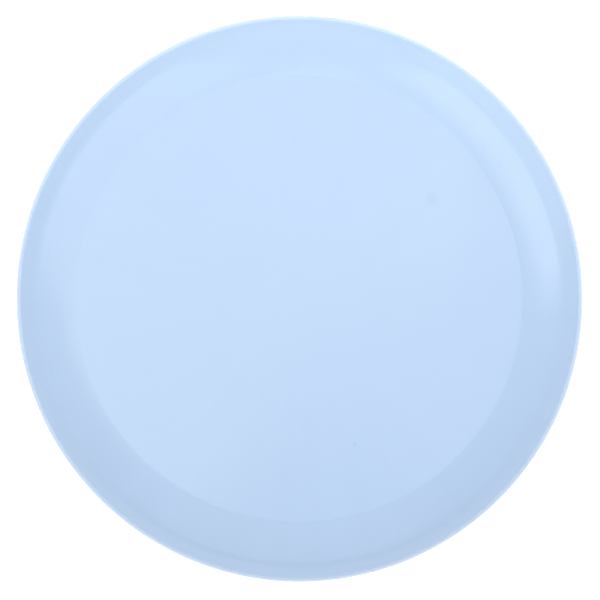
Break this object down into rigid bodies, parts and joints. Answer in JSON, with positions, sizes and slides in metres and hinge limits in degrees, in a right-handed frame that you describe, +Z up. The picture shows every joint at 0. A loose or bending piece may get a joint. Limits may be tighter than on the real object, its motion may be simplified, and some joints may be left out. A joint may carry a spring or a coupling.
{
  "type": "flying disc",
  "caption": "Flying disc: a flat flight plate that rolls over a smooth shoulder into a blunt, undercut rim, hollow underneath, for throwing and catching.",
  "frame": {"origin": "on the spin axis, in the plane that the foot of the rim stands on", "axes": "+Z up along the spin axis, out of the top of the flight plate; X and Y are free, because the disc is round"},
  "size_m": [0.212, 0.212, 0.02],
  "materials": {
    "disc_plastic": "satin"
  },
  "bodies": {
    "root": {"disc": "disc_plastic"}
  },
  "joints": []
}
